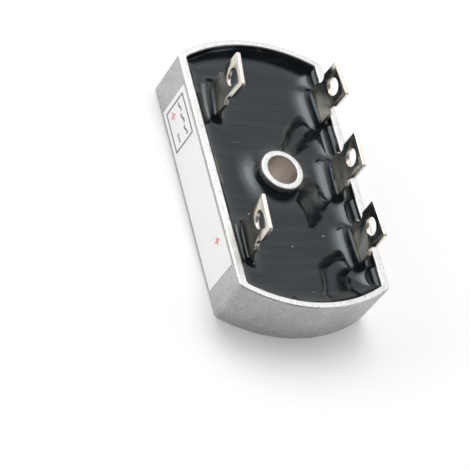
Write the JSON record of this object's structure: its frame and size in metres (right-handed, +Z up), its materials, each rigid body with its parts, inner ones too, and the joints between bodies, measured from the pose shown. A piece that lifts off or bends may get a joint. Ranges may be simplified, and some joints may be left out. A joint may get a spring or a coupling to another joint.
{
  "type": "bridge rectifier module",
  "caption": "Barrel-shaped potted bridge rectifier: aluminium case with a screw boss in the middle, glossy black resin and upright lug terminals in two rows.",
  "frame": {"origin": "centre of the screw hole, in the mounting face", "axes": "+Z up along the screw hole, towards the terminals; +Y along the case; the row of three terminals is on +X"},
  "size_m": [0.0361, 0.068, 0.023],
  "materials": {
    "case": "die-cast and blasted, with a machined rim and boss face",
    "ceramic": "fired alumina",
    "copper": "bare rolled copper",
    "silicon": "polished silicon with solder",
    "terminal": "bright tin plate",
    "resin": "poured and cured, very glossy",
    "label": "white film, satin"
  },
  "bodies": {
    "root": {"case": "case", "insulator": "ceramic", "positive_bus": "copper", "negative_bus": "copper", "link_1": "copper", "link_2": "copper", "link_3": "copper", "positive_die_1": "silicon", "positive_die_2": "silicon", "positive_die_3": "silicon", "negative_die_1": "silicon", "negative_die_2": "silicon", "negative_die_3": "silicon", "ac_terminal_1": "terminal", "ac_terminal_2": "terminal", "ac_terminal_3": "terminal", "negative_terminal": "terminal", "positive_terminal": "terminal", "resin": "resin", "label": "label"}
  },
  "joints": []
}
